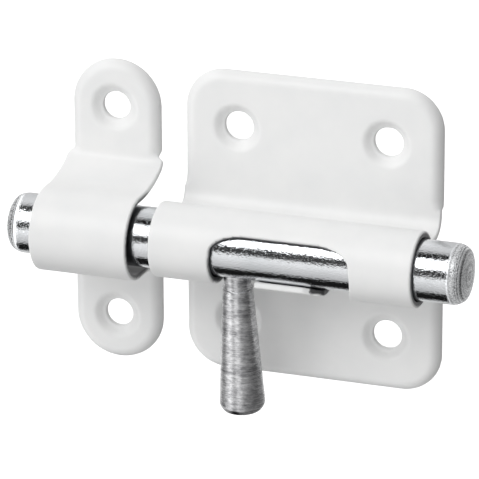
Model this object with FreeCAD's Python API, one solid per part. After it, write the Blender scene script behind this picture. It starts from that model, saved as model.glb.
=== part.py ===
"""Toggle bolt latch: a round bolt that slides in the barrel of a pressed steel plate, locked by a
handle that hangs in a notch of the barrel's window, and a separate keeper that takes the bolt's tip.

Frame, in millimetres: +Z up, X along the bolt, -Y towards the person who uses the latch.
The origin is the middle of the main plate, on the plane of the door that the plate is screwed to.
"""
import FreeCAD, Part
import os
from math import asin, cos, degrees, pi, radians, sin, sqrt

# Pressed sheet, shared by the main plate and the keeper
SHEET = 1.5             # thickness
FACE = 3.0              # front of the flat flange, in front of the door
RIM_BEND = 2.7          # outer bend radius of the curled rim
HOLE_R = 3.4            # screw hole
DIMPLE_R = 6.0          # where the pressed countersink starts

# Main plate
PLATE_W = 62.0
PLATE_H = 73.0
PLATE_CORNER = 9.5
PLATE_HOLE_X = 18.0     # hole centres, from the middle
PLATE_HOLE_Z = 23.35

# Barrel, rolled from the middle of the main plate
BOLT_DEPTH = 17.9       # bolt axis, in front of the door
BARREL_L = 62.6
BARREL_R = 8.75         # outer
NECK_Z = 4.25           # outer half height of the neck between the flanges and the barrel
NECK_FILLET = 3.4       # flange to neck
THROAT_FILLET = 2.4     # neck to barrel

# Window in the front of the barrel, with a notch at each end and a ledge between them
WINDOW_X = 16.55        # half length
WINDOW_TOP = 38.3       # angle above straight front, degrees
WINDOW_CORNER_X = 8.3   # quarter ellipses at its upper corners
WINDOW_CORNER_Z = 4.3
LEDGE_TOP = -56.5       # angle of the ledge's top edge
LEDGE_LEFT = -7.25      # ends of the ledge
LEDGE_RIGHT = 6.0
LEDGE_RAMP = 4.4        # length of the slope at the ledge's right end
RAMP_BOTTOM = -75.0     # angle where the slope ends
NOTCH_BOTTOM = -128.0   # angle where both notches end, behind the lowest point of the barrel

# Keeper
KEEPER_X = -48.15       # its middle, in the locked position
KEEPER_Z = -0.5         # it hangs a little low on the bolt
KEEPER_HOLE_Z = 25.6
LUG_W = 21.6
LUG_END_Z = 25.9        # centre of a lug's round end
LOOP_W = 23.7
LOOP_R = 9.9            # outer radius of the loop's front
WEB_BEND = 2.8          # flange to web
WEB_TURN = 64.5         # angle of that bend, degrees
WEB_EASE = 26.5         # radius of the web, which levels out towards the bolt

# Bolt
BOLT_R = 7.0
BOLT_LEFT = -67.4
BOLT_RIGHT = 42.6
BOLT_SHOULDER = 3.6     # length of the rounded shoulder at each end
BOLT_FACE_R = 5.0       # radius of the end face
BOLT_CROWN = 0.35       # rise of the domed end face

# Handle: distances from the bolt's axis, along the handle
HANDLE_X = -12.9
HANDLE_LEAN = 5.6       # degrees past straight down, towards the door
FOOT_GAP = 0.04         # between the handle's saddle and the bolt
NECK_R = 3.15
NECK_END = 9.0
CONE_START = 9.9
CONE_TOP_R = 3.5
CONE_END = 39.6
CONE_END_R = 5.3
HANDLE_END = 40.6
HANDLE_FACE_R = 4.5

X_AXIS = FreeCAD.Vector(1, 0, 0)
Y_AXIS = FreeCAD.Vector(0, 1, 0)
Z_AXIS = FreeCAD.Vector(0, 0, 1)
BACK = SHEET - FACE     # y of the flange's back face


def sec(depth, z, x=0.0):
    """A point of a cross-section, by its distance in front of the door and its height."""
    return FreeCAD.Vector(x, -depth, z)


def line(a, b):
    return Part.LineSegment(a, b).toShape()


def arc(a, middle, b):
    return Part.Arc(a, middle, b).toShape()


def arc_about(centre, radius, start, end):
    """An arc in the YZ plane about centre = (depth, z), between two angles in degrees."""
    pts = []
    for angle in (start, (start + end) / 2.0, end):
        a = radians(angle)
        pts.append(sec(centre[0] + radius * cos(a), centre[1] + radius * sin(a)))
    return arc(*pts)


def end_points(edges):
    return edges[0].valueAt(edges[0].FirstParameter), edges[-1].valueAt(edges[-1].LastParameter)


def mirrored(edges):
    """The same path below the bolt's axis, run the other way."""
    out = []
    for edge in reversed(edges):
        span = edge.LastParameter - edge.FirstParameter
        points = [edge.valueAt(edge.FirstParameter + f * span) for f in (1.0, 0.5, 0.0)]
        for p in points:
            p.z = -p.z
        if edge.Curve.TypeId == "Part::GeomCircle":
            out.append(arc(*points))
        else:
            out.append(line(points[0], points[2]))
    return out


def extruded_section(front, back, width, x_middle):
    """A sheet of the section between a front path and a back path, both from top to bottom."""
    f0, f1 = end_points(front)
    b0, b1 = end_points(back)
    wire = Part.Wire(Part.__sortEdges__(front + [line(f1, b1)] + back + [line(b0, f0)]))
    solid = Part.Face(wire).extrude(FreeCAD.Vector(width, 0, 0))
    solid.translate(FreeCAD.Vector(x_middle - width / 2.0, 0, 0))
    return solid


def barrel_path(offset):
    """The barrel's section, from the upper flange to the lower; offset 0 is its front surface."""
    fillet_1 = NECK_FILLET + offset
    fillet_2 = THROAT_FILLET + offset
    c1 = (FACE + NECK_FILLET, NECK_Z + NECK_FILLET)
    throat_z = NECK_Z + THROAT_FILLET
    reach = sqrt((BARREL_R + THROAT_FILLET) ** 2 - throat_z ** 2)
    c2 = (BOLT_DEPTH - reach, throat_z)
    wrap = degrees(asin(throat_z / (BARREL_R + THROAT_FILLET)))
    upper = [
        line(sec(FACE - offset, c1[1] + 1.0), sec(FACE - offset, c1[1])),
        arc_about(c1, fillet_1, 180, 270),
        line(sec(c1[0], c1[1] - fillet_1), sec(c2[0], c2[1] - fillet_2)),
        arc_about(c2, fillet_2, -90, -wrap),
    ]
    barrel = [arc_about((BOLT_DEPTH, 0), BARREL_R - offset, 180 - wrap, wrap - 180)]
    return upper + barrel + mirrored(upper)


def web_centres():
    """Centres (depth, z) of the keeper's bend and of its web, which ends level with the top of the loop."""
    reach = WEB_EASE - WEB_BEND
    bend_d = FACE + WEB_BEND
    web = (bend_d + reach * cos(radians(WEB_TURN)), LOOP_R + WEB_EASE)
    return (bend_d, web[1] - reach * sin(radians(WEB_TURN))), web


def loop_path(offset):
    """The keeper's section: webs that ease from the flanges into a half-round front."""
    bend, web = web_centres()
    upper = [
        line(sec(FACE - offset, bend[1] + 1.0), sec(FACE - offset, bend[1])),
        arc_about(bend, WEB_BEND + offset, 180, 180 + WEB_TURN),
        arc_about(web, WEB_EASE + offset, 180 + WEB_TURN, 270),
        line(sec(web[0], LOOP_R - offset), sec(BOLT_DEPTH, LOOP_R - offset)),
    ]
    front = [arc_about((BOLT_DEPTH, 0), LOOP_R - offset, 90, -90)]
    return upper + front + mirrored(upper)


def rounded_block(width, height, corner, y_back, depth, bend):
    """A block standing in front of y_back, with round corners and its front edge bent round."""
    block = Part.makeBox(width, depth, height,
                         FreeCAD.Vector(-width / 2.0, y_back - depth, -height / 2.0))
    upright = [e for e in block.Edges
               if abs(e.tangentAt(e.FirstParameter).dot(Y_AXIS)) > 0.99]
    block = block.makeFillet(corner, upright)
    front = [e for e in block.Edges
             if e.BoundBox.YMax < y_back - depth + 1e-4]
    return block.makeFillet(bend, front)


def pressed_tray(width, height, corner):
    """A flat flange whose border is curled back to the door all round."""
    shell = rounded_block(width, height, corner, 0.0, FACE, RIM_BEND)
    inside = rounded_block(width - 2 * SHEET, height - 2 * SHEET, corner - SHEET,
                           1.0, 1.0 + FACE - SHEET, RIM_BEND - SHEET)
    return shell.cut(inside)


def dimple_disc(shift, top):
    """A turned body under the dimple's S-shaped surface, moved back by shift, up to y = top."""
    low_r = HOLE_R + 0.25
    half = (DIMPLE_R + low_r) / 2.0
    drop = SHEET
    span = DIMPLE_R - low_r
    bend = (span ** 2 + drop ** 2) / (4.0 * drop)
    turn = asin(span / 2.0 / bend) / 2.0
    y = -FACE + shift
    rim = FreeCAD.Vector(DIMPLE_R, y, 0)
    knee = FreeCAD.Vector(DIMPLE_R - bend * sin(turn), y + bend * (1 - cos(turn)), 0)
    waist = FreeCAD.Vector(half, y + drop / 2.0, 0)
    heel = FreeCAD.Vector(low_r + bend * sin(turn), y + drop - bend * (1 - cos(turn)), 0)
    floor = FreeCAD.Vector(low_r, y + drop, 0)
    centre_floor = FreeCAD.Vector(0, y + drop, 0)
    centre_top = FreeCAD.Vector(0, top, 0)
    rim_top = FreeCAD.Vector(DIMPLE_R, top, 0)
    edges = [arc(rim, knee, waist), arc(waist, heel, floor), line(floor, centre_floor),
             line(centre_floor, centre_top), line(centre_top, rim_top)]
    if abs(top - y) > 1e-6:
        edges.append(line(rim_top, rim))
    face = Part.Face(Part.Wire(edges))
    return face.revolve(FreeCAD.Vector(0, 0, 0), Y_AXIS, 360)


def with_dimples(sheet, places):
    """Press a countersunk screw hole into the sheet at each (x, z)."""
    recess = dimple_disc(0.0, -FACE - 1.0)
    boss = dimple_disc(SHEET, BACK)
    hole = Part.makeCylinder(HOLE_R, 3 * FACE, FreeCAD.Vector(0, -2 * FACE, 0), Y_AXIS)
    for x, z in places:
        move = FreeCAD.Vector(x, 0, z)
        sheet = sheet.fuse(boss.translated(move))
        sheet = sheet.cut(recess.translated(move)).cut(hole.translated(move))
    return sheet


def sector(x_from, x_to, angle_from, angle_to):
    """A block around the bolt's axis that cuts through the barrel wall between two angles."""
    inner, outer = BOLT_R, BARREL_R + 1.0
    points = [sec(BOLT_DEPTH + r, 0, x) for r, x in
              ((inner, x_from), (inner, x_to), (outer, x_to), (outer, x_from))]
    face = Part.Face(Part.makePolygon(points + points[:1]))
    axis_point = sec(BOLT_DEPTH, 0)
    face.rotate(axis_point, X_AXIS, -angle_from)
    return face.revolve(axis_point, X_AXIS, -(angle_to - angle_from))


def ramp_cut():
    """The wedge above the slope at the ledge's right end, seen from below, as a prism along Z."""
    def p(x, angle):
        return FreeCAD.Vector(x, -BOLT_DEPTH - (BARREL_R + 0.5) * cos(radians(angle)), -BOLT_R + 4.5)
    end = LEDGE_RIGHT + LEDGE_RAMP
    corners = [p(LEDGE_RIGHT, LEDGE_TOP + 2), p(LEDGE_RIGHT, LEDGE_TOP), p(end, RAMP_BOTTOM),
               p(end + 0.5, RAMP_BOTTOM), p(end + 0.5, LEDGE_TOP + 2)]
    face = Part.Face(Part.makePolygon(corners + corners[:1]))
    return face.extrude(FreeCAD.Vector(0, 0, -BARREL_R))


def window_outline():
    """The window's shape seen from the front, with elliptical upper corners, as a prism along Y."""
    def p(x, z):
        return FreeCAD.Vector(x, -BOLT_DEPTH, z)
    top = BARREL_R * sin(radians(WINDOW_TOP)) + 0.05
    knee = top - WINDOW_CORNER_Z
    low = -BARREL_R - 1.0
    inner_x = WINDOW_X - WINDOW_CORNER_X
    edges = [line(p(-WINDOW_X, knee), p(-WINDOW_X, low)), line(p(-WINDOW_X, low), p(WINDOW_X, low)),
             line(p(WINDOW_X, low), p(WINDOW_X, knee)), line(p(inner_x, top), p(-inner_x, top))]
    for side in (1, -1):
        ellipse = Part.Ellipse(p(side * WINDOW_X, knee), p(side * inner_x, top), p(side * inner_x, knee))
        edges.append(Part.ArcOfEllipse(ellipse, 0, pi / 2).toShape())
    face = Part.Face(Part.Wire(Part.__sortEdges__(edges)))
    return face.extrude(FreeCAD.Vector(0, -BARREL_R - 2.0, 0))


def barrel_plate():
    tray = pressed_tray(PLATE_W, PLATE_H, PLATE_CORNER)
    slot_z = NECK_Z + NECK_FILLET
    slot = Part.makeBox(PLATE_W + 2, FACE + 2, 2 * slot_z,
                        FreeCAD.Vector(-PLATE_W / 2 - 1, -FACE - 1, -slot_z))
    barrel = extruded_section(barrel_path(0.0), barrel_path(SHEET), BARREL_L, 0.0)
    sheet = with_dimples(tray.cut(slot), [(sx * PLATE_HOLE_X, sz * PLATE_HOLE_Z)
                                          for sx in (1, -1) for sz in (1, -1)])
    window = sector(-WINDOW_X, WINDOW_X, LEDGE_TOP, WINDOW_TOP).common(window_outline())
    notches = [sector(-WINDOW_X, LEDGE_LEFT, NOTCH_BOTTOM, LEDGE_TOP),
               sector(LEDGE_RIGHT + LEDGE_RAMP, WINDOW_X, NOTCH_BOTTOM, LEDGE_TOP), ramp_cut()]
    for cutter in [window] + notches:
        barrel = barrel.cut(cutter)
    return sheet.fuse(barrel).removeSplitter()


def keeper_plate():
    tray = pressed_tray(LUG_W, 2 * LUG_END_Z + LUG_W, LUG_W / 2.0 - 0.01)
    slot_z = web_centres()[0][1]
    slot = Part.makeBox(LUG_W + 2, FACE + 2, 2 * slot_z,
                        FreeCAD.Vector(-LUG_W / 2 - 1, -FACE - 1, -slot_z))
    lugs = with_dimples(tray.cut(slot), [(0, KEEPER_HOLE_Z), (0, -KEEPER_HOLE_Z)])
    loop = extruded_section(loop_path(0.0), loop_path(SHEET), LOOP_W, 0.0)
    keeper = lugs.fuse(loop).removeSplitter()
    keeper.translate(FreeCAD.Vector(KEEPER_X, 0, KEEPER_Z))
    return keeper


def bolt_rod():
    """A round bar with a rounded shoulder and a slightly domed face at each end."""
    dome = (BOLT_FACE_R ** 2 + BOLT_CROWN ** 2) / (2.0 * BOLT_CROWN)

    def half_profile(end, inward):
        """The end's points, from the axis to the bar's surface; inward is +1 or -1 along X."""
        def p(along, radius):
            return FreeCAD.Vector(end + inward * along, 0, radius)
        mid_r = BOLT_FACE_R / 2.0
        return (p(0, 0), p(dome - sqrt(dome ** 2 - mid_r ** 2), mid_r), p(BOLT_CROWN, BOLT_FACE_R),
                p(BOLT_SHOULDER / 2.0, BOLT_R - 0.2 * (BOLT_R - BOLT_FACE_R)), p(BOLT_SHOULDER, BOLT_R))

    left = half_profile(BOLT_LEFT, 1.0)
    right = half_profile(BOLT_RIGHT, -1.0)
    profile = Part.Wire([arc(*left[:3]), arc(*left[2:]), line(left[4], right[4]),
                         arc(right[4], right[3], right[2]), arc(right[2], right[1], right[0]),
                         line(right[0], left[0])])
    rod = Part.Face(profile).revolve(FreeCAD.Vector(0, 0, 0), X_AXIS, 360)
    rod.translate(sec(BOLT_DEPTH, 0))
    return rod


def handle():
    """A turned, tapered pin that stands on the bolt with a short neck."""
    def p(radius, along):
        return FreeCAD.Vector(radius, 0, -along)
    shoulder = p((NECK_R + CONE_TOP_R) / 2 + 0.1, (NECK_END + CONE_START) / 2 - 0.1)
    profile = Part.Wire([
        line(p(0, BOLT_R - 1.5), p(NECK_R, BOLT_R - 1.5)),
        line(p(NECK_R, BOLT_R - 1.5), p(NECK_R, NECK_END)),
        arc(p(NECK_R, NECK_END), shoulder, p(CONE_TOP_R, CONE_START)),
        line(p(CONE_TOP_R, CONE_START), p(CONE_END_R, CONE_END)),
        arc(p(CONE_END_R, CONE_END), p(CONE_END_R - 0.2, CONE_END + 0.6), p(HANDLE_FACE_R, HANDLE_END)),
        line(p(HANDLE_FACE_R, HANDLE_END), p(0, HANDLE_END)),
        line(p(0, HANDLE_END), p(0, BOLT_R - 1.5)),
    ])
    pin = Part.Face(profile).revolve(FreeCAD.Vector(0, 0, 0), Z_AXIS, 360)
    pin.rotate(FreeCAD.Vector(0, 0, 0), X_AXIS, HANDLE_LEAN)
    pin.translate(sec(BOLT_DEPTH, 0, HANDLE_X))
    seat = Part.makeCylinder(BOLT_R + FOOT_GAP, 30, sec(BOLT_DEPTH, 0, HANDLE_X - 15), X_AXIS)
    return pin.cut(seat)


PARTS = {
    "barrel_plate": barrel_plate,
    "keeper_plate": keeper_plate,
    "bolt_rod": bolt_rod,
    "handle": handle,
}

os.makedirs("parts", exist_ok=True)
for name, make in PARTS.items():
    solid = make()
    if solid.ShapeType == "Compound" and len(solid.Solids) == 1:
        solid = solid.Solids[0]
    solid.exportStep(os.path.join("parts", name + ".step"))
    box = solid.BoundBox
    print(name, "solids", len(solid.Solids), "valid", solid.isValid(), "volume", round(solid.Volume, 1),
          "x %.2f..%.2f y %.2f..%.2f z %.2f..%.2f" % (box.XMin, box.XMax, box.YMin, box.YMax,
                                                      box.ZMin, box.ZMax))
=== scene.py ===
"""Looks for the toggle bolt latch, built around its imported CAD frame.

Lengths in this script are millimetres until a mesh is made; Blender gets metres. Cross-sections use d, the
distance in front of the door (-Y), and z. The two pressed sheets are meshed from a distance field, so that
every cut edge has the soft round of a powder coat; the bolt and the handle are turned from a profile.
"""
from math import asin, cos, degrees, pi, radians, sin, sqrt
import bpy
import numpy as np
import openvdb
from mathutils import Matrix, Vector


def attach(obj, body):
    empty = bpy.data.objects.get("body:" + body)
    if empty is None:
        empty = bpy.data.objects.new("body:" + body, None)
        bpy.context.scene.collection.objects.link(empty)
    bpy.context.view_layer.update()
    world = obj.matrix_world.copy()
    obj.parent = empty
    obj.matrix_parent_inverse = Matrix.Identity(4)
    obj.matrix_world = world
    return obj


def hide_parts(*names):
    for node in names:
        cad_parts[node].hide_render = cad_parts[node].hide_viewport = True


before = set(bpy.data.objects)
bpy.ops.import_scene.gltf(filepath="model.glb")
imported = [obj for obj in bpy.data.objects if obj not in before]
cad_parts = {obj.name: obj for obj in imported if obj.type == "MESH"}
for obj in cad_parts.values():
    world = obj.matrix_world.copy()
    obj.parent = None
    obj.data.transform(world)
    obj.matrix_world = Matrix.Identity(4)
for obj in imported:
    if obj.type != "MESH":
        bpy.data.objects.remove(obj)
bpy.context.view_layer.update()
MM = 0.001
FAR = 50.0              # a distance that is far from any surface
MARGIN = 1.3            # room round a distance field
VOXEL = 0.42
GRADIENT_STEP = 0.02
SURFACE_STEPS = 4       # times that a vertex is moved onto the exact surface

# Sheet
SHEET = 1.5
EDGE_R = 0.42           # round of a painted edge
FACE = 3.0
RIM_BEND = 2.7
HOLE_R, KEEPER_HOLE_R = 3.45, 3.3
DIMPLE_R = 6.3
DIMPLE_LOW = 0.15       # the dimple ends this far outside its hole
TIGHT_BEND, RIM_LIFT = 1.6, 0.5  # where the curled rim fades out: its bend, and how far its edge rises
FADE_DEPTH = 5.0        # a flange is blended into the barrel or the loop up to this depth
FADE_OVERLAP = 1.0      # the flange runs on this far under the blend

# Main plate
PLATE_W, PLATE_H, PLATE_CORNER = 62.0, 73.0, 9.5
PLATE_HOLE_X, PLATE_HOLE_Z = 18.0, 23.35
BOLT_DEPTH = 17.9
BARREL_L, BARREL_R = 62.6, 8.75
NECK_Z, NECK_FILLET, THROAT_FILLET = 4.25, 3.4, 2.4
RIM_FADE = (7.7, 9.2)   # the flange becomes the neck between these heights
RIM_GROWS = 3.4         # height over which the curled rim grows to its full size
BARREL_GROWS = (4.0, 10.0)  # the barrel widens from the plate's width between these depths

# Window in the barrel: half length, angle of its top edge, radii of its upper corners
WINDOW_X, WINDOW_TOP = 16.55, 38.3
WINDOW_CORNER = (8.3, 4.3)
WINDOW_LEAN, LEAN_ANGLES = 0.95, (-12, -65)  # how far its right end comes in, and where
WINDOW_SQUARE = 0.05    # round of its lower corners
NOTCH_CORNER, NOTCH_BLEND = 1.5, 1.0  # rounds of the notches, and where they open into the window
LEDGE_TOP, LEDGE_LEFT, LEDGE_RIGHT, LEDGE_RAMP, RAMP_BOTTOM = -56.5, -7.25, 5.3, 3.7, -73.0
NOTCH_BOTTOM = -128.0

# Painted shade, near black, inside the barrel and the loop: how far in from the outer surface it starts at a
# cut edge, how softly it starts, and the angles on the ledge where it is left out
BARREL_UNSHADED, LOOP_UNSHADED, SHADE_FADE = 0.25, 0.45, 0.3
LEDGE_UNSHADED, LEDGE_UNSHADED_PAST = (-70, -48), 0.6
LOOP_SHADE_DEPTH = (9.0, 15.0)  # the painted shade inside the loop fades in between these depths

# Keeper
KEEPER_X, KEEPER_Z, KEEPER_HOLE_Z = -48.15, -0.5, 25.6
LUG_W, LUG_END_Z, LOOP_W, LOOP_R = 21.6, 25.9, 23.7, 9.9
WEB_BEND, WEB_TURN, WEB_EASE = 2.8, 64.5, 26.5
KEEPER_FADE = (12.8, 15.6)

# Bolt and handle
BOLT_R, BOLT_LEFT, BOLT_RIGHT = 7.0, -67.4, 42.6
BOLT_SHOULDER, BOLT_FACE_R, BOLT_CROWN = 3.6, 5.0, 0.35
TURNING_PITCH, TURNING_DEPTH = 0.7, 0.022
LEFT_TURNED, RIGHT_TURNED, TURNED_FADE = 2.6, 3.3, 0.4  # lengths of the turned ends, and how they start
HANDLE_X, HANDLE_LEAN, FOOT_DEPTH = -12.9, 5.6, 2.0  # the foot is sunk in the bolt
NECK_R, NECK_END, CONE_START, CONE_TOP_R = 3.15, 9.0, 9.9, 3.5
CONE_END, CONE_END_R, HANDLE_END, HANDLE_FACE_R = 39.25, 5.3, 40.6, 4.6
CHAMFER_CURVE, CHAMFER_FULLNESS = 1.3, 0.12
HANDLE_WORN_FROM, HANDLE_WORN_FADE = 0.1, 0.15  # past the cone's end
SIDES = 160             # of a turned piece

# Camera
CAM_AZ, CAM_EL, CAM_ROLL = 19.94, 19.93, -0.25
CAM_DISTANCE, CAM_LENS = 1001.0, 324.66
CAM_TARGET = (-18.56, 0.0, -4.87)


# ---------------------------------------------------------------- distance fields

def smooth_step(t):
    t = np.clip(t, 0.0, 1.0)
    return t * t * (3 - 2 * t)


def smooth_min(a, b, k):
    h = np.maximum(k - np.abs(a - b), 0.0) / k
    return np.minimum(a, b) - h * h * k * 0.25


def rounded(a, b, r):
    """Both a < 0 and b < 0, with the corner between them rounded."""
    qa, qb = a + r, b + r
    return np.minimum(np.maximum(qa, qb), 0) + np.hypot(np.maximum(qa, 0), np.maximum(qb, 0)) - r


def sheet_field(n, e):
    """A sheet with round edges: n is the distance from its mid surface and e the distance past its edge."""
    return rounded(np.abs(n) - SHEET / 2, e, EDGE_R)


def tray(f, d, r, hole, rim, cut):
    """A flange with a curled rim and a pressed screw hole, ending where cut is above 0.

    f is the distance past its outline, r the distance from the hole's axis, and rim the curl's size, 0 to 1.
    """
    span = DIMPLE_R - hole - DIMPLE_LOW
    t = (DIMPLE_R - r) / span
    press = SHEET * smooth_step(t)
    inside = np.clip(t, 0, 1)
    slope = SHEET * 6 * inside * (1 - inside) / span
    flat = (d - (FACE - SHEET / 2 - press)) / np.sqrt(1 + slope ** 2)
    curl = TIGHT_BEND + (RIM_BEND - TIGHT_BEND) * rim
    bend = np.hypot(f + curl, d - (FACE - curl)) - (curl - SHEET / 2)
    wall = f + SHEET / 2
    n = np.where(f <= -curl, flat, np.where(d > FACE - curl, bend, wall))
    e = np.where(f > -curl, RIM_LIFT * (1 - rim) - d, -FAR)
    return sheet_field(n, np.maximum(np.maximum(e, hole - r), cut))


def on_arc(du, dv, radius, low, high):
    """Distance from an arc about the origin between two angles in degrees, and FAR beyond its ends."""
    angle = np.degrees(np.arctan2(dv, du))
    return np.where((angle >= low) & (angle <= high), np.abs(np.hypot(du, dv) - radius), FAR)


# The throat is the round from the neck into the barrel: its centre, and the barrel's angle where it ends
THROAT_Z = NECK_Z + THROAT_FILLET
THROAT_D = BOLT_DEPTH - sqrt((BARREL_R + THROAT_FILLET) ** 2 - THROAT_Z ** 2)
WRAP = degrees(asin(THROAT_Z / (BARREL_R + THROAT_FILLET)))
HALF = SHEET / 2
FLANGE_D = FACE - HALF
# The keeper's web leaves the lug in a tight bend and eases into the loop in a wide one: their centres
WEB_REACH = WEB_EASE - WEB_BEND
WEB_D = FACE + WEB_BEND + WEB_REACH * cos(radians(WEB_TURN))
WEB_CENTRES = ((FACE + WEB_BEND, LOOP_R + WEB_EASE - WEB_REACH * sin(radians(WEB_TURN))),
               (WEB_D, LOOP_R + WEB_EASE))


def barrel_section(d, az):
    """Distance from the mid line of the main plate's section, in its upper half."""
    c1d, c1z = FACE + NECK_FILLET, NECK_Z + NECK_FILLET
    pieces = [
        np.where(az >= c1z, np.abs(d - FLANGE_D), FAR),
        on_arc(d - c1d, az - c1z, NECK_FILLET + HALF, -180, -90),
        np.where((d >= c1d) & (d <= THROAT_D), np.abs(az - (NECK_Z - HALF)), FAR),
        on_arc(d - THROAT_D, az - THROAT_Z, THROAT_FILLET + HALF, -90, -WRAP),
        on_arc(d - BOLT_DEPTH, az, BARREL_R - HALF, 0, 180 - WRAP),
    ]
    return np.minimum.reduce(np.broadcast_arrays(*pieces))


def loop_section(d, az):
    """Distance from the mid line of the keeper's section, in its upper half."""
    bend, web = WEB_CENTRES
    pieces = [
        np.where(az >= bend[1], np.abs(d - FLANGE_D), FAR),
        on_arc(d - bend[0], az - bend[1], WEB_BEND + HALF, -180, WEB_TURN - 180),
        on_arc(d - web[0], az - web[1], WEB_EASE + HALF, WEB_TURN - 180, -90),
        np.where((d >= web[0]) & (d <= BOLT_DEPTH), np.abs(az - (LOOP_R - HALF)), FAR),
        on_arc(d - BOLT_DEPTH, az, LOOP_R - HALF, 0, 90),
    ]
    return np.minimum.reduce(np.broadcast_arrays(*pieces))


def around(angle):
    """Length along the barrel's mid surface for an angle in degrees."""
    return radians(angle) * (BARREL_R - HALF)


def window(x, s):
    """Distance outside the barrel's window, in its flattened sheet."""
    top, ledge = around(WINDOW_TOP), around(LEDGE_TOP)
    lean_top, lean_bottom = (around(angle) for angle in LEAN_ANGLES)
    lean = WINDOW_LEAN * smooth_step((lean_top - s) / (lean_top - lean_bottom))
    wide = np.abs(x) - WINDOW_X + np.where(x < 0, 0.0, lean)
    box = rounded(wide, np.maximum(s - top, ledge - s), WINDOW_SQUARE)
    cx, cz = WINDOW_CORNER
    ex, ez = (np.abs(x) - (WINDOW_X - cx)) / cx, (s - (top - cz)) / cz
    ring = np.hypot(ex, ez)
    steep = np.hypot(ex / cx, ez / cz) / np.maximum(ring, 1e-6)
    corner = (ring - 1) / np.maximum(steep, 1e-6)
    opening = np.where((ex > 0) & (ez > 0), corner, box)
    up = np.maximum(around(NOTCH_BOTTOM) - s, s)
    left = rounded(np.maximum(x - LEDGE_LEFT, wide), up, NOTCH_CORNER)
    ramp = LEDGE_RIGHT + LEDGE_RAMP * smooth_step((ledge - s) / (ledge - around(RAMP_BOTTOM)))
    right = rounded(np.maximum(ramp - x, wide), up, NOTCH_CORNER)
    return smooth_min(smooth_min(opening, left, NOTCH_BLEND), right, NOTCH_BLEND)


def blended(flange, other, d, az, fade):
    """The flange above the fade's two heights, and the other sheet below them and past FADE_DEPTH."""
    low, high = fade
    share = np.where(d < FADE_DEPTH, smooth_step((az - low) / (high - low)), 0.0)
    return share * flange + (1 - share) * other


def plate_field(x, d, z):
    ax, az = np.abs(x), np.abs(z)
    f = rounded(ax - PLATE_W / 2, az - PLATE_H / 2, PLATE_CORNER)
    hole = np.hypot(ax - PLATE_HOLE_X, az - PLATE_HOLE_Z)
    rim = smooth_step((az - RIM_FADE[0]) / RIM_GROWS)
    flange = tray(f, d, hole, HOLE_R, rim, RIM_FADE[0] - FADE_OVERLAP - az)
    angle = np.arctan2(z, d - BOLT_DEPTH)
    cut = np.where(d > BOLT_DEPTH - BARREL_R, -window(x, angle * (BARREL_R - HALF)), -FAR)
    start, end = BARREL_GROWS
    half = PLATE_W / 2 + (BARREL_L - PLATE_W) / 2 * smooth_step((d - start) / (end - start))
    barrel = sheet_field(barrel_section(d, az), np.maximum(ax - half, cut))
    return blended(flange, barrel, d, az, RIM_FADE)


def keeper_field(x, d, z):
    x, z = x - KEEPER_X, z - KEEPER_Z
    ax, az = np.abs(x), np.abs(z)
    f = np.where(az < LUG_END_Z, ax, np.hypot(ax, az - LUG_END_Z)) - LUG_W / 2
    hole = np.hypot(ax, az - KEEPER_HOLE_Z)
    lug = tray(f, d, hole, KEEPER_HOLE_R, 1.0, KEEPER_FADE[0] - FADE_OVERLAP - az)
    loop = sheet_field(loop_section(d, az), ax - LOOP_W / 2)
    return blended(lug, loop, d, az, KEEPER_FADE)


def barrel_inside_shade(x, d, z):
    """1 where shade is painted near black: the inside of the barrel and the inner part of its cut edges, but
    not on the ledge.
    """
    angle = np.degrees(np.arctan2(z, d - BOLT_DEPTH))
    # painted shade starts a little way in from the barrel's outer surface
    painted_shade = smooth_step((BARREL_R - BARREL_UNSHADED - np.hypot(d - BOLT_DEPTH, z)) / SHADE_FADE)
    low, high = LEDGE_UNSHADED
    along = (x > LEDGE_LEFT - LEDGE_UNSHADED_PAST) & (x < LEDGE_RIGHT + LEDGE_UNSHADED_PAST)
    ledge = (angle < high) & (angle > low) & along
    return np.where(ledge | (d < BOLT_DEPTH - BARREL_R), 0.0, painted_shade)


def loop_inside_shade(x, d, z):
    """1 where shade is painted near black on the inside of the keeper's loop, towards its front."""
    inner = LOOP_R - LOOP_UNSHADED - np.hypot(np.maximum(d - BOLT_DEPTH, 0), z - KEEPER_Z)
    start, end = LOOP_SHADE_DEPTH
    return smooth_step(inner / SHADE_FADE) * smooth_step((d - start) / (end - start))


# ---------------------------------------------------------------- meshes

def link(name, mesh):
    obj = bpy.data.objects.new(name, mesh)
    bpy.context.scene.collection.objects.link(obj)
    return obj


def set_mask(mesh, name, values):
    mesh.attributes.new(name, "FLOAT", "POINT").data.foreach_set("value", values.astype(np.float32))


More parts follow.
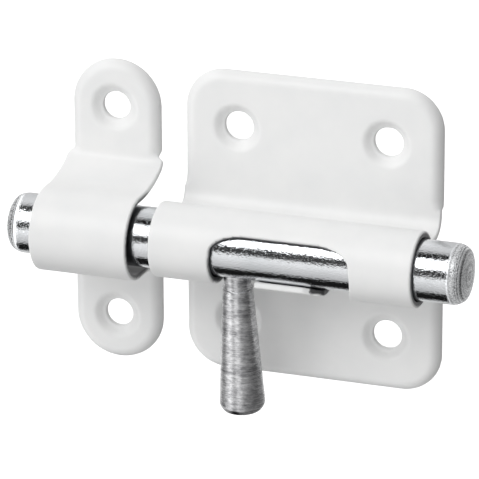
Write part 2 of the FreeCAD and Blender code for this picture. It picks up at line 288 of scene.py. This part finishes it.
def field_mesh(name, field, inside, low, high):
    """A closed mesh of the field's zero surface, with normals from its gradient and a mask of painted shade.
    """
    axes = [np.arange(a, b + VOXEL, VOXEL) for a, b in zip(low, high)]
    values = np.empty([len(a) for a in axes], np.float32)
    for i, x in enumerate(axes[0]):
        values[i] = field(x, axes[1][:, None], axes[2][None, :])
    grid = openvdb.FloatGrid(FAR)
    grid.copyFromArray(values)
    grid.transform = openvdb.createLinearTransform(voxelSize=VOXEL)
    points, quads = grid.convertToQuads()
    points = points.astype(float) + np.array(low)

    def gradient(p):
        out = np.empty_like(p)
        for k in range(3):
            step = np.zeros(3)
            step[k] = GRADIENT_STEP
            out[:, k] = (field(*(p + step).T) - field(*(p - step).T)) / (2 * GRADIENT_STEP)
        return out

    for _ in range(SURFACE_STEPS):
        g = gradient(points)
        move = field(*points.T)[:, None] * g / np.maximum((g * g).sum(1), 0.25)[:, None]
        points -= np.clip(move, -VOXEL / 2, VOXEL / 2)
    # the mask of painted shade, near black inside the barrel and the loop
    painted_shade = inside(*points.T)
    normals = gradient(points)
    normals /= np.maximum(np.linalg.norm(normals, axis=1), 1e-9)[:, None]
    flip = np.array((1, -1, 1))
    points, normals = points * flip, normals * flip
    a, b, c = (points[quads[:, i]] for i in (0, 1, 2))
    if (np.cross(b - a, c - a) * normals[quads[:, 0]]).sum() < 0:
        quads = quads[:, ::-1]
    mesh = bpy.data.meshes.new(name)
    mesh.from_pydata((points * MM).tolist(), [], quads.tolist())
    mesh.shade_smooth()
    mesh.normals_split_custom_set_from_vertices(normals.tolist())
    set_mask(mesh, "painted_shade", painted_shade)
    return link(name, mesh)


# ---------------------------------------------------------------- turned pieces

def turned(name, profile, place, worn):
    """A closed lathe body from (along, radius) points, the first and the last of them on its axis.

    place maps (along, u, v) to x, y, z in mm, and worn gives the wear at a point along the axis, from 0 to 1.
    """
    turns = [2 * pi * k / SIDES for k in range(SIDES)]
    rings = [[(along, r * cos(t), r * sin(t)) for t in turns] for along, r in profile[1:-1]]
    tips = [(profile[i][0], 0.0, 0.0) for i in (0, -1)]
    verts = [tips[0]] + [point for ring in rings for point in ring] + [tips[1]]
    last = len(verts) - 1
    faces = [(0, 1 + k, 1 + (k + 1) % SIDES) for k in range(SIDES)]
    for i in range(len(rings) - 1):
        for k in range(SIDES):
            p, q = 1 + i * SIDES + k, 1 + i * SIDES + (k + 1) % SIDES
            faces.append((p, p + SIDES, q + SIDES, q))
    faces += [(last, last - SIDES + (k + 1) % SIDES, last - SIDES + k) for k in range(SIDES)]
    mesh = bpy.data.meshes.new(name)
    mesh.from_pydata([tuple(c * MM for c in place(*v)) for v in verts], [], faces)
    mesh.shade_smooth()
    mesh.validate()
    set_mask(mesh, "worn", np.array([worn(v[0]) for v in verts]))
    return link(name, mesh)


def quarter(count):
    """(1 - cos, sin) of evenly spaced angles up to a right angle."""
    return [(1 - cos(i / count * pi / 2), sin(i / count * pi / 2)) for i in range(1, count + 1)]


def bolt_end_profile(tip, inward):
    """From the centre of an end face, with its turning lines, out over the shoulder."""
    points = []
    for i in range(25):
        r = BOLT_FACE_R * i / 24
        rise = BOLT_CROWN * (r / BOLT_FACE_R) ** 2
        groove = TURNING_DEPTH * (1 - cos(2 * pi * r / TURNING_PITCH)) / 2
        points.append((tip + inward * (rise + groove), r))
    for bulge, out in quarter(14):
        points.append((tip + inward * (BOLT_CROWN + (BOLT_SHOULDER - BOLT_CROWN) * bulge),
                       BOLT_FACE_R + (BOLT_R - BOLT_FACE_R) * out))
    return points


def rod_profile():
    """From the left end's centre to the right end's centre."""
    left, right = bolt_end_profile(BOLT_LEFT, 1), bolt_end_profile(BOLT_RIGHT, -1)
    start, end = left[-1][0], right[-1][0]
    return left + [(start + (end - start) * i / 12, BOLT_R) for i in range(1, 12)] + right[::-1]


def bolt_end(along):
    """1 on the turned shoulders and ends of the bolt, 0 on its drawn length."""
    past = max(BOLT_LEFT + LEFT_TURNED - along, along - BOLT_RIGHT + RIGHT_TURNED)
    return float(smooth_step(past / TURNED_FADE))


def handle_profile():
    """From the foot, inside the bolt, along the neck and the cone to the chamfer and the end face."""
    foot = BOLT_R - FOOT_DEPTH
    points = [(foot, 0.0)] + [(foot + (NECK_END - foot) * i / 8, NECK_R) for i in range(9)]
    points += [(NECK_END + (CONE_START - NECK_END) * out, NECK_R + (CONE_TOP_R - NECK_R) * bulge)
               for bulge, out in quarter(6)]
    for i in range(1, 91):
        points.append((CONE_START + (CONE_END - CONE_START) * i / 90,
                       CONE_TOP_R + (CONE_END_R - CONE_TOP_R) * i / 90))
    for i in range(1, 9):
        t = i / 8
        drop = t ** CHAMFER_CURVE * (1 - (1 - t) ** 3 * CHAMFER_FULLNESS)
        points.append((CONE_END + (HANDLE_END - CONE_END) * t,
                       CONE_END_R - (CONE_END_R - HANDLE_FACE_R) * drop))
    points += [(HANDLE_END, HANDLE_FACE_R * (1 - i / 12)) for i in range(1, 12)]
    return points + [(HANDLE_END, 0.0)]


def handle_end(along):
    """1 on the handle's chamfer and end face."""
    return float(smooth_step((along - CONE_END - HANDLE_WORN_FROM) / HANDLE_WORN_FADE))


# ---------------------------------------------------------------- materials, in metres: scales are per metre

class Nodes:
    """A small helper around one node tree."""

    def __init__(self, tree):
        self.tree = tree

    def add(self, kind, **props):
        node = self.tree.nodes.new(kind)
        for key, value in props.items():
            setattr(node, key, value)
        return node

    def link(self, a, b):
        self.tree.links.new(a, b)

    def math(self, op, a, b=None, c=None):
        node = self.add("ShaderNodeMath", operation=op)
        for i, v in enumerate((a, b, c)):
            if v is None:
                continue
            if isinstance(v, (int, float)):
                node.inputs[i].default_value = v
            else:
                self.link(v, node.inputs[i])
        return node.outputs[0]

    def ramp(self, fac, stops):
        node = self.add("ShaderNodeValToRGB")
        ramp = node.color_ramp
        while len(ramp.elements) < len(stops):
            ramp.elements.new(0.5)
        for el, (pos, value) in zip(ramp.elements, stops):
            el.position = pos
            el.color = (value, value, value, 1) if isinstance(value, (int, float)) else (*value, 1)
        self.link(fac, node.inputs[0])
        return node.outputs[0]

    def noise(self, vector, scale, detail, rough, stretch=None):
        if stretch is not None:
            mapping = self.add("ShaderNodeMapping")
            mapping.inputs["Scale"].default_value = stretch
            self.link(vector, mapping.inputs["Vector"])
            vector = mapping.outputs[0]
        node = self.add("ShaderNodeTexNoise")
        self.link(vector, node.inputs["Vector"])
        node.inputs["Scale"].default_value = scale
        node.inputs["Detail"].default_value = detail
        node.inputs["Roughness"].default_value = rough
        return node.outputs["Fac"]

    def bump(self, height, distance):
        node = self.add("ShaderNodeBump")
        node.inputs["Strength"].default_value = 1.0
        node.inputs["Distance"].default_value = distance
        self.link(height, node.inputs["Height"])
        return node.outputs[0]

    def mask(self, name):
        return self.add("ShaderNodeAttribute", attribute_name=name).outputs["Fac"]

    def mix(self, fac, a, b):
        node = self.add("ShaderNodeMix", data_type="RGBA")
        self.link(fac, node.inputs["Factor"])
        self.link(a, node.inputs["A"])
        if isinstance(b, tuple):
            node.inputs["B"].default_value = b
        else:
            self.link(b, node.inputs["B"])
        return node.outputs["Result"]


def new_material(name):
    mat = bpy.data.materials.new(name)
    mat.use_nodes = True
    nodes = Nodes(mat.node_tree)
    shader = next(n for n in mat.node_tree.nodes if n.type == "BSDF_PRINCIPLED")
    coords = nodes.add("ShaderNodeTexCoord").outputs["Object"]
    return mat, nodes, shader, coords


def powder_coat():
    """White, with orange peel and a few dust nibs over the paint, and near black painted shade inside the
    barrel and the loop.
    """
    mat, n, shader, at = new_material("white_powder_coat")
    peel = n.noise(at, 900, 2.0, 0.5)
    broad = n.noise(at, 110, 3.0, 0.55)
    specks = n.add("ShaderNodeTexVoronoi", feature="F1")
    n.link(at, specks.inputs["Vector"])
    specks.inputs["Scale"].default_value = 160
    nib = n.ramp(specks.outputs["Distance"], [(0.0, 1.0), (0.07, 0.0)])
    height = n.math("ADD", n.math("MULTIPLY", peel, 0.5), n.math("MULTIPLY", nib, 0.35))
    n.link(n.bump(height, 0.00005), shader.inputs["Normal"])
    tint = n.ramp(broad, [(0.25, (0.80, 0.805, 0.805)), (0.75, (0.845, 0.845, 0.84))])
    # near black painted shade where the mask is 1, inside the barrel and the loop
    n.link(n.mix(n.mask("painted_shade"), tint, (0.035, 0.036, 0.038, 1)), shader.inputs["Base Color"])
    n.link(n.ramp(broad, [(0.3, 0.36), (0.7, 0.42)]), shader.inputs["Roughness"])
    shader.inputs["IOR"].default_value = 1.5
    return mat


def bright_zinc():
    """A bright drawn bar, finely grained, whose worn ends have turning lines about its axis."""
    mat, n, shader, at = new_material("bright_zinc")
    end = n.mask("worn")
    split = n.add("ShaderNodeSeparateXYZ")
    n.link(at, split.inputs[0])
    out = n.math("ADD", split.outputs["Y"], BOLT_DEPTH * MM)
    radius = n.math("SQRT", n.math("MULTIPLY_ADD", out, out, n.math("POWER", split.outputs["Z"], 2.0)))
    rings = n.add("ShaderNodeCombineXYZ")
    n.link(radius, rings.inputs["X"])
    n.link(split.outputs["X"], rings.inputs["Y"])
    cuts = n.noise(rings.outputs[0], 2600, 2.0, 0.6)
    grain = n.noise(at, 2300, 2.0, 0.6, (0.7, 1, 1))
    streak = n.noise(at, 800, 3.0, 0.6, (0.25, 1, 1))
    pits = n.noise(at, 3200, 2.0, 0.6)
    cloud = n.noise(at, 90, 3.0, 0.55)
    fine = n.math("ADD", n.math("MULTIPLY", grain, 0.85), n.math("MULTIPLY", streak, 0.15))
    rough = n.math("MULTIPLY", n.math("ADD", cuts, n.math("MULTIPLY", pits, 0.7)), end)
    height = n.math("ADD", fine, n.math("MULTIPLY", rough, 2.2))
    n.link(n.bump(height, 0.00007), shader.inputs["Normal"])
    clean = n.ramp(cloud, [(0.3, (0.76, 0.78, 0.80)), (0.7, (0.86, 0.87, 0.89))])
    scuffed = n.ramp(n.math("MULTIPLY_ADD", cuts, 0.5, n.math("MULTIPLY", pits, 0.5)),
                     [(0.40, (0.13, 0.13, 0.135)), (0.49, (0.58, 0.59, 0.60)), (0.60, (0.82, 0.83, 0.84))])
    n.link(n.mix(end, clean, scuffed), shader.inputs["Base Color"])
    smooth = n.ramp(grain, [(0.3, 0.05), (0.7, 0.10)])
    n.link(n.math("MULTIPLY_ADD", end, 0.2, smooth), shader.inputs["Roughness"])
    shader.inputs["Metallic"].default_value = 1.0
    return mat


def turned_steel():
    """Grey steel with turning lines across the leaning handle, dull where it is worn."""
    mat, n, shader, at = new_material("turned_steel")
    tilt = n.add("ShaderNodeMapping")
    tilt.inputs["Rotation"].default_value = (radians(HANDLE_LEAN), 0, 0)
    n.link(at, tilt.inputs["Vector"])
    lines = n.noise(tilt.outputs[0], 3000, 3.0, 0.6, (0.08, 0.08, 1.0))
    marks = n.noise(tilt.outputs[0], 1500, 3.0, 0.65, (0.5, 0.5, 1.0))
    broad = n.noise(tilt.outputs[0], 420, 2.0, 0.5, (0.2, 0.2, 1.0))
    height = n.math("ADD", n.math("MULTIPLY", lines, 0.5), n.math("MULTIPLY", marks, 0.5))
    n.link(n.bump(height, 0.00010), shader.inputs["Normal"])
    blend = n.math("MULTIPLY_ADD", lines, 0.35, n.math("MULTIPLY", marks, 0.4))
    blend = n.math("MULTIPLY_ADD", broad, 0.25, blend)
    tint = n.ramp(blend, [(0.38, (0.22, 0.22, 0.23)), (0.5, (0.49, 0.49, 0.50)),
                          (0.62, (0.76, 0.76, 0.77))])
    dulled = n.add("ShaderNodeMix", data_type="RGBA", blend_type="MULTIPLY")
    dulled.inputs["Factor"].default_value = 1.0
    n.link(tint, dulled.inputs["A"])
    n.link(n.math("MULTIPLY_ADD", n.mask("worn"), -0.7, 1.0), dulled.inputs["B"])
    n.link(dulled.outputs["Result"], shader.inputs["Base Color"])
    n.link(n.ramp(lines, [(0.3, 0.20), (0.7, 0.32)]), shader.inputs["Roughness"])
    shader.inputs["Metallic"].default_value = 1.0
    return mat


# ---------------------------------------------------------------- light, floor, camera

# Studio light by direction, as (place, level) pairs. CARDS and PLAIN go by the angle above straight front, in
# the plane square to the bolt. The other two go by the side, from -1, along the bolt to the left, to 1:
# CARD_SIDES is the share of the cards, which show in the bolt as bands, and SIDE_LEVEL scales the light.
CARDS = [
    (-180, 0.55), (-159, 0.65), (-114, 0.65), (-112, 0.01), (-68, 0.01), (-66, 0.50), (-40, 0.70),
    (-6, 1.05), (-3, 0.05), (25, 0.05), (28, 3.0), (60, 3.0), (63, 0.01), (88, 0.01), (91, 0.55),
    (110, 0.75), (180, 0.60),
]
PLAIN = [
    (-180, 1.15), (-120, 0.95), (-80, 1.15), (-20, 1.58), (10, 1.62), (30, 1.97), (80, 1.82), (110, 1.15),
    (180, 1.15),
]
CARD_SIDES = [(-0.54, 0.0), (-0.46, 1.0), (-0.17, 1.0), (-0.09, 0.0)]
SIDE_LEVEL = [
    (-1.0, 0.2), (-0.93, 0.28), (-0.82, 0.85), (-0.6, 1.2), (-0.35, 1.0), (0.1, 0.85), (0.4, 0.38),
    (1.0, 0.16),
]
LIGHT_MAX = 4.0         # strength that a level of 1 in a ramp stands for
BACKDROP = 1.05         # what the camera sees behind the object
FLOOR_SIZE, FLOOR_Z = 30000.0, -900.0


def studio_light():
    """The world: the studio's light for the object, and a plain backdrop for the camera."""
    world = bpy.data.worlds.new("studio")
    bpy.context.scene.world = world
    world.use_nodes = True
    tree = world.node_tree
    tree.nodes.clear()
    n = Nodes(tree)
    split = n.add("ShaderNodeSeparateXYZ")
    n.link(n.add("ShaderNodeTexCoord").outputs["Generated"], split.inputs[0])
    angle = n.math("ARCTAN2", split.outputs["Z"], n.math("MULTIPLY", split.outputs["Y"], -1.0))
    turn = n.math("ADD", n.math("DIVIDE", angle, 2 * pi), 0.5)
    side = n.math("MULTIPLY_ADD", split.outputs["X"], 0.5, 0.5)
    cards, plain = (n.ramp(turn, [((a + 180) / 360, v / LIGHT_MAX) for a, v in table])
                    for table in (CARDS, PLAIN))
    share, level = (n.ramp(side, [((x + 1) / 2, v) for x, v in table])
                    for table in (CARD_SIDES, SIDE_LEVEL))
    both = n.math("ADD", n.math("MULTIPLY", cards, share),
                  n.math("MULTIPLY", plain, n.math("SUBTRACT", 1.0, share)))
    light = n.add("ShaderNodeBackground")
    n.link(n.math("MULTIPLY", both, level), light.inputs["Color"])
    light.inputs["Strength"].default_value = LIGHT_MAX
    white = n.add("ShaderNodeBackground")
    white.inputs["Color"].default_value = (1, 1, 1, 1)
    white.inputs["Strength"].default_value = BACKDROP
    mix = n.add("ShaderNodeMixShader")
    n.link(n.add("ShaderNodeLightPath").outputs["Is Camera Ray"], mix.inputs[0])
    n.link(light.outputs[0], mix.inputs[1])
    n.link(white.outputs[0], mix.inputs[2])
    n.link(mix.outputs[0], n.add("ShaderNodeOutputWorld").inputs["Surface"])


def floor():
    """A pale staged floor far below, which neither shines on the object nor shows in it."""
    mesh = bpy.data.meshes.new("floor")
    corners = [(x * FLOOR_SIZE, y * FLOOR_SIZE, FLOOR_Z) for x, y in ((-1, -1), (1, -1), (1, 1), (-1, 1))]
    mesh.from_pydata([tuple(c * MM for c in p) for p in corners], [], [(0, 1, 2, 3)])
    obj = link("floor", mesh)
    mat = bpy.data.materials.new("pale_floor")
    mat.use_nodes = True
    shader = next(n for n in mat.node_tree.nodes if n.type == "BSDF_PRINCIPLED")
    shader.inputs["Base Color"].default_value = (0.93, 0.93, 0.93, 1)
    shader.inputs["Roughness"].default_value = 0.9
    shader.inputs["Specular IOR Level"].default_value = 0.0
    shader.inputs["Emission Color"].default_value = (1, 1, 1, 1)
    shader.inputs["Emission Strength"].default_value = 0.35
    mesh.materials.append(mat)
    obj.visible_glossy = False
    obj.visible_diffuse = False


def camera():
    """A long lens above and to the right of the latch."""
    az, el, roll = radians(CAM_AZ), radians(CAM_EL), radians(CAM_ROLL)
    back = Vector((sin(az) * cos(el), -cos(az) * cos(el), sin(el)))
    right = Vector((cos(az), sin(az), 0))
    up = back.cross(right)
    right, up = cos(roll) * right + sin(roll) * up, -sin(roll) * right + cos(roll) * up
    cam = bpy.data.cameras.new("camera")
    cam.sensor_width = 36.0
    cam.lens = CAM_LENS
    cam.clip_start, cam.clip_end = 0.05, 200.0
    obj = bpy.data.objects.new("camera", cam)
    bpy.context.scene.collection.objects.link(obj)
    turn = Matrix((right, up, back)).transposed().to_4x4()
    obj.matrix_world = Matrix.Translation((Vector(CAM_TARGET) + CAM_DISTANCE * back) * MM) @ turn
    bpy.context.scene.camera = obj


# ---------------------------------------------------------------- pieces

def dress(obj, material, body, node):
    """Give a piece its material and its place in the frame."""
    obj.data.materials.append(material)
    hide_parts(node)
    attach(obj, body)


def on_bolt(along, u, v):
    return (along, -BOLT_DEPTH + u, v)


def on_handle(along, u, v):
    lean = radians(HANDLE_LEAN)
    return (HANDLE_X - u, -BOLT_DEPTH + along * sin(lean) + v * cos(lean), -along * cos(lean) + v * sin(lean))


coat, zinc, steel = powder_coat(), bright_zinc(), turned_steel()
plate = field_mesh("barrel_sheet", plate_field, barrel_inside_shade,
                   (-BARREL_L / 2 - MARGIN, -MARGIN, -PLATE_H / 2 - MARGIN),
                   (BARREL_L / 2 + MARGIN, BOLT_DEPTH + BARREL_R + MARGIN, PLATE_H / 2 + MARGIN))
dress(plate, coat, "plate", "barrel_plate")
keeper_half = LUG_END_Z + LUG_W / 2 + MARGIN
keeper = field_mesh("keeper_sheet", keeper_field, loop_inside_shade,
                    (KEEPER_X - LOOP_W / 2 - MARGIN, -MARGIN, KEEPER_Z - keeper_half),
                    (KEEPER_X + LOOP_W / 2 + MARGIN, BOLT_DEPTH + LOOP_R + MARGIN, KEEPER_Z + keeper_half))
dress(keeper, coat, "keeper", "keeper_plate")
rod = turned("round_bolt", rod_profile(), on_bolt, bolt_end)
dress(rod, zinc, "bolt", "bolt_rod")
pin = turned("tapered_handle", handle_profile(), on_handle, handle_end)
dress(pin, steel, "lever", "handle")

studio_light()
floor()
camera()
bpy.context.scene.view_settings.view_transform = "Standard"
